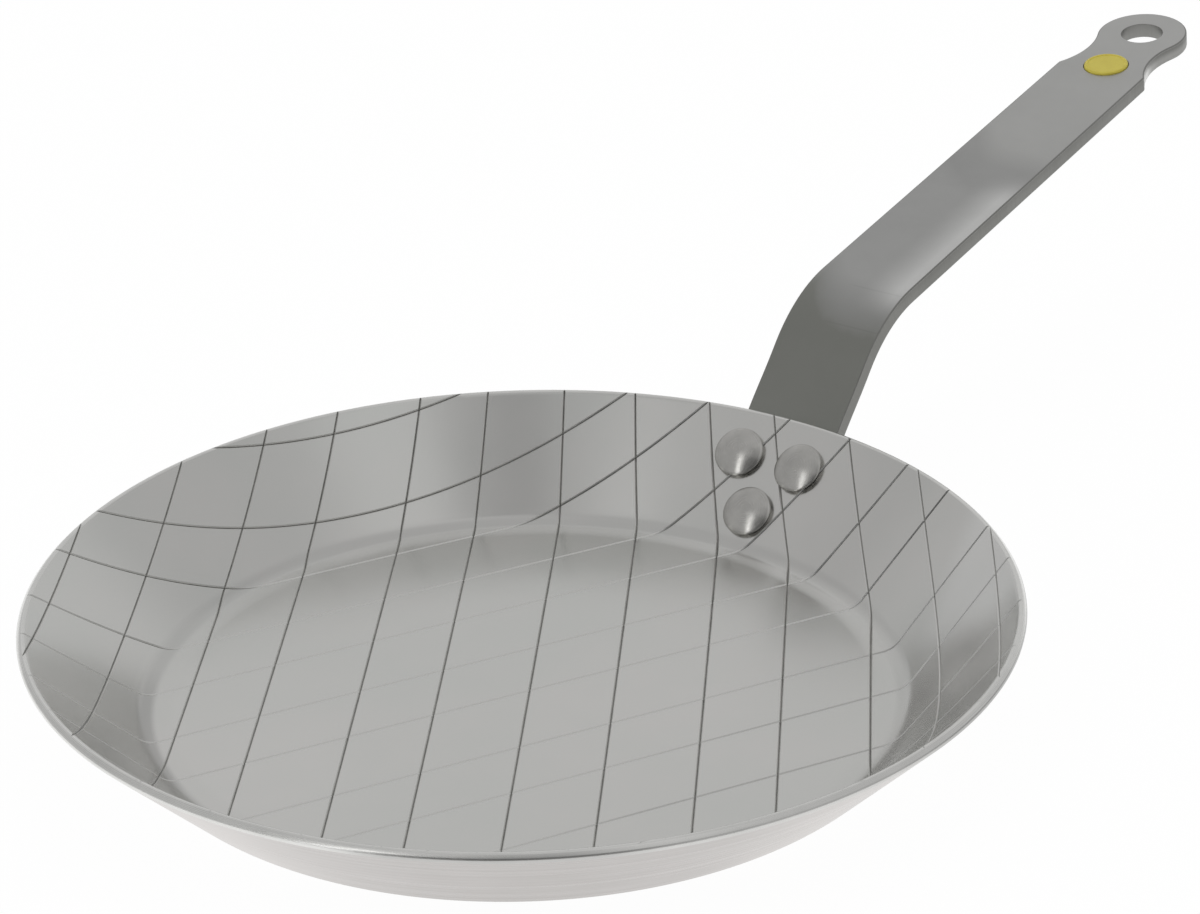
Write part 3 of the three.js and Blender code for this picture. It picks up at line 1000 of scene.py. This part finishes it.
def grain_mask(tree, groups, place, finish):
    along, across = finish["grain"]
    return use_group(tree, groups["satin_grain"], {"Vector": place, "Along": along, "Across": across})


def line_mask(tree, groups, place, finish):
    return use_group(tree, groups["turned_lines"], {"Vector": place, "Spacing": finish["line_spacing"]})


def clouded_colour(tree, clouds, finish):
    return mix_colour(tree, clouds, (*finish["dark"], 1), (*finish["light"], 1))


def flat_map(tree, name):
    return add_node(tree, "ShaderNodeUVMap", {"uv_map": name}).outputs["UV"]


def object_place(tree):
    return add_node(tree, "ShaderNodeTexCoord").outputs["Object"]


def set_look(tree, shader, colour, roughness):
    tree.links.new(colour, shader.inputs["Base Color"])
    tree.links.new(roughness, shader.inputs["Roughness"])


def ahead_and_aside(tree, place):
    parts = add_node(tree, "ShaderNodeSeparateXYZ", inputs={0: place}).outputs
    return parts["X"], parts["Y"]


def add_relief(tree, shader, pattern, relief):
    """Lets a pattern stand out from the surface by a height and a strength."""
    height, strength = relief
    bump = add_node(
        tree,
        "ShaderNodeBump",
        inputs={"Height": pattern, "Distance": height, "Strength": strength},
    )
    tree.links.new(bump.outputs["Normal"], shader.inputs["Normal"])


def painted_bend_shade(tree, radius, ahead, aside):
    """How much painted shade darkens the sheet where it was bent."""
    left = smooth_range(tree, ahead, *BEND_SHADE_LEFT["ahead"], BEND_SHADE_LEFT["amount"])
    left = multiplied(tree, left, smooth_range(tree, aside, *BEND_SHADE_LEFT["aside"]))
    spared = BEND_SHADE_SPARED_RIGHT["share"] * BEND_PAINTED_SHADE["amount"]
    right = smooth_range(tree, aside, *BEND_SHADE_SPARED_RIGHT["aside"], spared)
    amount = math_node(tree, "SUBTRACT", added(tree, left, BEND_PAINTED_SHADE["amount"]), right)
    return multiplied(tree, band(tree, radius, BEND_PAINTED_SHADE), amount)


def painted_wall_light(tree, radius, ahead, aside):
    """How much painted light brightens the right-hand wall."""
    painted_light = smooth_range(tree, aside, *RIGHT_WALL_PAINTED_LIGHT["aside"], RIGHT_WALL_PAINTED_LIGHT["amount"])
    painted_light = multiplied(tree, painted_light, smooth_range(tree, ahead, *RIGHT_WALL_PAINTED_LIGHT["ahead"]))
    return multiplied(tree, painted_light, smooth_range(tree, radius, *RIGHT_WALL_PAINTED_LIGHT["outwards"]))


def pressing_height(tree, radius, ahead, aside):
    """The floor's sag and the gentle start of the bend, in metres."""
    sag = smooth_range(tree, radius, *FLOOR_SAG_RADII, -FLOOR_SAG)
    gentle = smooth_range(tree, ahead, *LEFT_LEAD_IN["ahead"], LEFT_LEAD_IN["less"])
    gentle = multiplied(tree, gentle, smooth_range(tree, aside, *LEFT_LEAD_IN["aside"]))
    lead_in = smooth_range(tree, radius, *LEAD_IN_RADII, LEAD_IN)
    lead_in = multiplied(tree, lead_in, math_node(tree, "SUBTRACT", 1.0, gentle))
    return added(tree, sag, lead_in)


def pan_inside_steel(groups):
    finish = INSIDE_FINISH
    material, tree, shader = new_steel("satin_pan_steel")
    place = flat_map(tree, "blank")
    clouds = cloud_mask(tree, groups, place, finish)
    grain = grain_mask(tree, groups, place, finish)
    spot = (length_node(tree, place), *ahead_and_aside(tree, place))
    colour = clouded_colour(tree, clouds, finish)
    # Painted shade on the bend
    colour = mix_colour(tree, painted_bend_shade(tree, *spot), colour, BLACK)
    # Painted light on the right-hand wall
    colour = mix_colour(tree, painted_wall_light(tree, *spot), colour, WHITE)
    cloud_shine = map_range(tree, clouds, 0.0, 1.0, *finish["roughness"])
    grain_shine = map_range(tree, grain, *GRAIN_SPREAD, *finish["grain_roughness"])
    set_look(tree, shader, colour, added(tree, cloud_shine, grain_shine))
    waves = noise(tree, place, finish["waves_per_metre"], finish["wave_detail"])
    waves = multiplied(tree, waves, finish["wave_height"])
    scratches = multiplied(tree, grain, finish["scratch_height"])
    uneven = added(tree, waves, scratches)
    add_relief(tree, shader, added(tree, uneven, pressing_height(tree, *spot)), RELIEF_IN_METRES)
    return material


def pan_outside_steel(groups):
    finish = OUTSIDE_FINISH
    material, tree, shader = new_steel("polished_outside_steel")
    place = object_place(tree)
    lines = line_mask(tree, groups, place, finish)
    # Painted shade on one side of the outside
    outwards = direction_node(tree, level_part(tree, place))
    towards = dot_node(tree, outwards, direction_of(OUTSIDE_PAINTED_SHADE["azimuth"], 0))
    ends = math.cos(math.radians(OUTSIDE_PAINTED_SHADE["to"]))
    full = math.cos(math.radians(OUTSIDE_PAINTED_SHADE["full_to"]))
    painted_shade = smooth_range(tree, towards, ends, full, OUTSIDE_PAINTED_SHADE["amount"])
    colour = clouded_colour(tree, cloud_mask(tree, groups, place, finish), finish)
    colour = mix_colour(tree, painted_shade, colour, BLACK)
    set_look(tree, shader, colour, map_range(tree, lines, *GRAIN_SPREAD, *finish["roughness"]))
    add_relief(tree, shader, lines, finish["relief"])
    return material


def rim_steel(groups, name, is_lower_edge):
    """Cut edge of the sheet. Its lower edge is shaded."""
    finish = RIM_FINISH
    material, tree, shader = new_steel(name)
    place = object_place(tree)
    lines = line_mask(tree, groups, place, finish)
    colour = clouded_colour(tree, cloud_mask(tree, groups, place, finish), finish)
    if is_lower_edge:
        ahead, aside = ahead_and_aside(tree, place)
        shade = RIM_SHADE
        for step in RIM_SHADE_STEPS:
            shade = added(tree, smooth_range(tree, ahead, *step["ahead"], step["change"]), shade)
        shade = multiplied(tree, shade, smooth_range(tree, aside, *RIM_SHADED_ASIDE))
        colour = mix_colour(tree, shade, colour, BLACK)
    set_look(tree, shader, colour, map_range(tree, lines, *GRAIN_SPREAD, *finish["roughness"]))
    add_relief(tree, shader, lines, finish["relief"])
    return material


def groove_steel(groups, name, finish, shade_share):
    material, tree, shader = new_steel(name)
    place = flat_map(tree, "blank")
    clouds = cloud_mask(tree, groups, place, finish)
    ahead, aside = ahead_and_aside(tree, place)
    # Painted shade on the flanks on the right-hand wall
    painted_shade = smooth_range(tree, aside, *FLANK_SHADE_ASIDE, shade_share)
    painted_shade = multiplied(tree, painted_shade, map_range(tree, ahead, *FLANK_SHADE_AHEAD, FLANK_SHADE_BACK, 1.0))
    colour = mix_colour(tree, painted_shade, clouded_colour(tree, clouds, finish), BLACK)
    set_look(tree, shader, colour, map_range(tree, clouds, 0.0, 1.0, *finish["roughness"]))
    return material


def tone_ramp(tree, distance, tones):
    """A ramp of greys over the distance along the bar."""
    ramp = add_node(tree, "ShaderNodeValToRGB")
    stops = ramp.color_ramp.elements
    stops.remove(stops[1])
    for index, (place, tone) in enumerate(tones):
        stop = stops[0] if index == 0 else stops.new(place / EYE_AT)
        stop.position = place / EYE_AT
        stop.color = (*tone, 1)
    tree.links.new(math_node(tree, "DIVIDE", distance, EYE_AT), ramp.inputs[0])
    return ramp.outputs["Color"]


def edge_highlight(tree, along, across):
    """How strong the painted highlight along the right-hand edge of the bar's face is, from 0 to 1."""
    near_edge = map_range(tree, across, *PAINTED_EDGE_HIGHLIGHT["across"], 0.0, 1.0)
    near_edge = math_node(tree, "POWER", near_edge, PAINTED_EDGE_HIGHLIGHT["power"])
    return multiplied(tree, near_edge, band(tree, along, PAINTED_EDGE_HIGHLIGHT))


def bend_shade_lines(tree, along, across):
    """How dark the lines of painted shade across the right-hand part of the bar are."""
    total = 0.0
    for line_at in BEND_SHADE_LINES:
        off = math_node(tree, "ABSOLUTE", math_node(tree, "SUBTRACT", along, line_at))
        total = added(tree, smooth_range(tree, off, BEND_SHADE_LINE_WIDTH, 0.0), total)
    shown = smooth_range(tree, across, *BEND_SHADE_LINES_BETWEEN, BEND_SHADE_LINE_DEPTH)
    return multiplied(tree, total, shown)


def lagged(tree, along, across):
    """The distance along the bar, held back towards its left edge."""
    leftness = map_range(tree, across, *TONE_LAGS_BETWEEN, 0.0, 1.0)
    lag = multiplied(tree, multiplied(tree, leftness, leftness), TONE_LAG)
    return math_node(tree, "SUBTRACT", along, lag)


def below_face(tree):
    """The depth below the bar's upper face, past the bend."""
    face = bar_frame(EYE_AT)
    upwards = face.to_3x3().col[2]
    height = dot_node(tree, object_place(tree), upwards)
    return math_node(tree, "SUBTRACT", face.translation.dot(upwards), height)


def bar_steel(groups, name, tones, roughness, is_face=False, foot_tones=None):
    """Dull grey bar steel, with painted shade and light in its tones. Its tone changes along the bar, and
    to the foot tones down its side.
    """
    finish = BAR_FINISH
    material, tree, shader = new_steel(name)
    place = flat_map(tree, "bar")
    clouds = cloud_mask(tree, groups, place, finish)
    grain = grain_mask(tree, groups, place, finish)
    along, across = ahead_and_aside(tree, place)
    shift = map_range(tree, clouds, 0.0, 1.0, *finish["cloud_shift"])
    toned_at = added(tree, lagged(tree, along, across), shift)
    colour = tone_ramp(tree, toned_at, tones)
    # Painted light and a painted highlight towards the foot of the sides
    if foot_tones:
        low = smooth_range(tree, below_face(tree), *SIDE_FOOT_BETWEEN)
        colour = mix_colour(tree, low, colour, tone_ramp(tree, toned_at, foot_tones))
    if is_face:
        # A painted highlight along the right-hand edge
        colour = mix_colour(tree, edge_highlight(tree, along, across), colour, (*PAINTED_EDGE_HIGHLIGHT["colour"], 1))
        # Lines of painted shade across the bend
        colour = mix_colour(tree, bend_shade_lines(tree, along, across), colour, BLACK)
    spread = finish["cloud_roughness"]
    cloud_shine = map_range(tree, clouds, 0.0, 1.0, roughness - spread, roughness + spread)
    grain_shine = map_range(tree, grain, *GRAIN_SPREAD, *finish["grain_roughness"])
    set_look(tree, shader, colour, added(tree, cloud_shine, grain_shine))
    add_relief(tree, shader, grain, finish["relief"])
    return material


def rivet_steel(groups):
    finish = RIVET_FINISH
    material, tree, shader = new_steel("turned_rivet_steel")
    lines = grain_mask(tree, groups, flat_map(tree, "round"), finish)
    colour = clouded_colour(tree, cloud_mask(tree, groups, object_place(tree), finish), finish)
    set_look(tree, shader, colour, map_range(tree, lines, *GRAIN_SPREAD, *finish["roughness"]))
    tangent = add_node(tree, "ShaderNodeTangent", {"direction_type": "UV_MAP", "uv_map": "round"})
    tree.links.new(tangent.outputs["Tangent"], shader.inputs["Tangent"])
    add_relief(tree, shader, lines, finish["relief"])
    shader.inputs["Anisotropic"].default_value = finish["anisotropic"]
    shader.inputs["Anisotropic Rotation"].default_value = finish["anisotropic_turn"]
    return material


def ochre_plastic(groups):
    finish = OCHRE_FINISH
    material, tree, shader = new_material("ochre_plastic")
    place = object_place(tree)
    clouds = cloud_mask(tree, groups, place, finish)
    specks = noise(tree, place, finish["specks_per_metre"], finish["speck_detail"])
    colour = clouded_colour(tree, clouds, finish)
    set_look(tree, shader, colour, map_range(tree, clouds, 0.0, 1.0, *finish["roughness"]))
    add_relief(tree, shader, specks, finish["relief"])
    shader.inputs["Specular IOR Level"].default_value = finish["specular"]
    return material


# Studio


def strip_light(tree, around, height):
    """An upright strip of light: narrow sideways, tall, and only on its own side of the studio."""
    sine = {name: math.sin(math.radians(angle)) for name, angle in STRIP.items()}
    off_centre = dot_node(tree, around, direction_of(STRIP_AZIMUTH + 90, 0))
    off_centre = math_node(tree, "ABSOLUTE", off_centre)
    narrow = smooth_range(tree, off_centre, sine["reach"], sine["core"], STRIP_CHANGE)
    ahead = dot_node(tree, around, direction_of(STRIP_AZIMUTH, 0))
    own_side = math_node(tree, "GREATER_THAN", ahead, 0.0)
    return multiplied(tree, multiplied(tree, narrow, band(tree, height, sine)), own_side)


def light_studio():
    world = bpy.data.worlds.new("studio")
    bpy.context.scene.world = world
    world.use_nodes = True
    tree = world.node_tree
    around = add_node(tree, "ShaderNodeTexCoord").outputs["Generated"]
    height = add_node(tree, "ShaderNodeSeparateXYZ", inputs={0: around}).outputs["Z"]
    total = added(tree, strip_light(tree, around, height), STUDIO_LEVEL)
    for patch in STUDIO_PATCHES:
        aligned = dot_node(tree, around, direction_of(*patch["at"]))
        reach = math.cos(math.radians(patch["reach"]))
        core = math.cos(math.radians(patch["core"]))
        change = smooth_range(tree, aligned, reach, core, patch["change"])
        change.node.label = patch["name"]
        total = added(tree, total, change)
    lit = math_node(tree, "MAXIMUM", total, 0.0)
    tree.links.new(lit, tree.nodes["Background"].inputs["Strength"])
    tree.nodes["Background"].inputs["Color"].default_value = WHITE


def lay_floor():
    bpy.ops.object.select_all(action="DESELECT")
    bpy.ops.mesh.primitive_circle_add(
        vertices=STUDIO_FLOOR_FACETS,
        radius=STUDIO_FLOOR_RADIUS,
        fill_type="NGON",
    )
    floor = bpy.context.object
    floor.name = "studio_floor"
    material, tree, shader = new_material("white_floor")
    shader.inputs["Base Color"].default_value = STUDIO_FLOOR_COLOUR
    shader.inputs["Roughness"].default_value = 1
    shader.inputs["Specular IOR Level"].default_value = 0
    path = add_node(tree, "ShaderNodeLightPath").outputs
    seen = added(tree, path["Is Camera Ray"], path["Is Glossy Ray"])
    seen = math_node(tree, "ADD", seen, path["Is Transmission Ray"], clamp=True)
    share = multiplied(tree, seen, STUDIO_FLOOR_GLOW)
    glow = add_node(tree, "ShaderNodeEmission", inputs={"Strength": STUDIO_FLOOR_GLOW_STRENGTH})
    mix = add_node(
        tree,
        "ShaderNodeMixShader",
        inputs={0: share, 1: shader.outputs[0], 2: glow.outputs[0]},
    )
    tree.links.new(mix.outputs[0], tree.nodes["Material Output"].inputs["Surface"])
    give_materials(floor, material)


def aim_camera():
    lens = bpy.data.cameras.new("camera")
    lens.lens = CAMERA_LENS
    lens.sensor_width = CAMERA_SENSOR
    lens.sensor_fit = "HORIZONTAL"
    camera = bpy.data.objects.new("camera", lens)
    bpy.context.scene.collection.objects.link(camera)
    turn = Matrix.Rotation(CAMERA_TURN, 4, "Z")
    tilt = Matrix.Rotation(CAMERA_TILT, 4, "X")
    roll = Matrix.Rotation(CAMERA_ROLL, 4, "Z")
    camera.matrix_world = turn @ tilt @ roll @ Matrix.Translation(CAMERA_OFFSET)
    bpy.context.scene.camera = camera


bpy.context.scene.view_settings.view_transform = "Standard"
aim_camera()
light_studio()
lay_floor()

groups = {
    "cloudy_finish": cloudy_finish_group(),
    "satin_grain": satin_grain_group(),
    "turned_lines": turned_lines_group(),
}
build_pan(
    pan_inside_steel(groups),
    pan_outside_steel(groups),
    rim_steel(groups, "cut_rim_steel", False),
    rim_steel(groups, "rim_edge_steel", True),
    [
        groove_steel(groups, family["flank"], FLANK_FINISH, family["flank_shade"])
        for family in GROOVE_FAMILIES
    ],
    groove_steel(groups, "groove_slot_steel", SLOT_FINISH, 0.0),
)
build_handle(
    bar_steel(groups, "bar_steel", BAR_TONES, BAR_FACE_ROUGHNESS, is_face=True),
    bar_steel(groups, "bar_side_steel", SIDE_TONES, BAR_SIDE_ROUGHNESS, foot_tones=SIDE_FOOT_TONES),
    bar_steel(groups, "bar_edge_steel", BAR_EDGE_TONES, BAR_EDGE_ROUGHNESS),
)
build_rivets(rivet_steel(groups))
build_medallion(ochre_plastic(groups))
